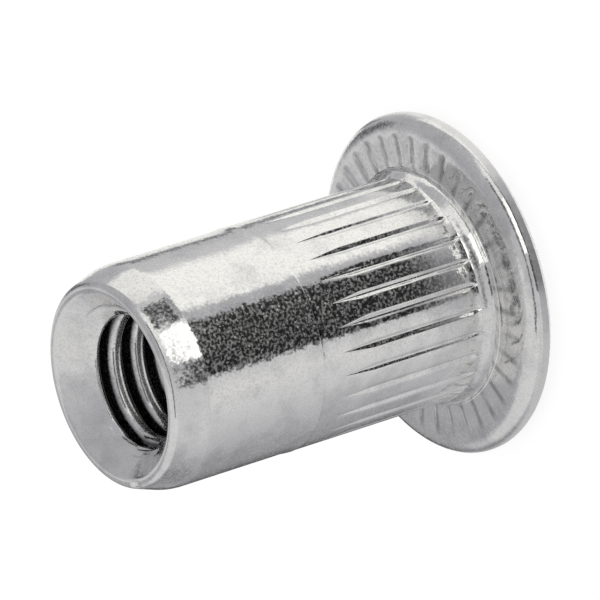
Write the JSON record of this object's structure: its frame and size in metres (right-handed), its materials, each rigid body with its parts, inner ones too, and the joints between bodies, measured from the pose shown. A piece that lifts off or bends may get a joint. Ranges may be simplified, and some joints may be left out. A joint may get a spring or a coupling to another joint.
{
  "type": "rivet nut",
  "caption": "Open-end blind rivet nut with a flat serrated flange, a straight-knurled cylindrical shank and a threaded, tapered open end.",
  "frame": {"origin": "on the axis, at the outer face of the flange on which the part stands", "axes": "+Z runs along the axis, from the flange towards the threaded open end; +X passes through the middle of one knurl groove"},
  "size_m": [0.009, 0.009, 0.0107],
  "materials": {
    "zinc_plated_steel": "bright zinc plating, polished, with a fine grain in its darkest reflections"
  },
  "bodies": {
    "root": {"rivet_nut": "zinc_plated_steel"}
  },
  "joints": []
}
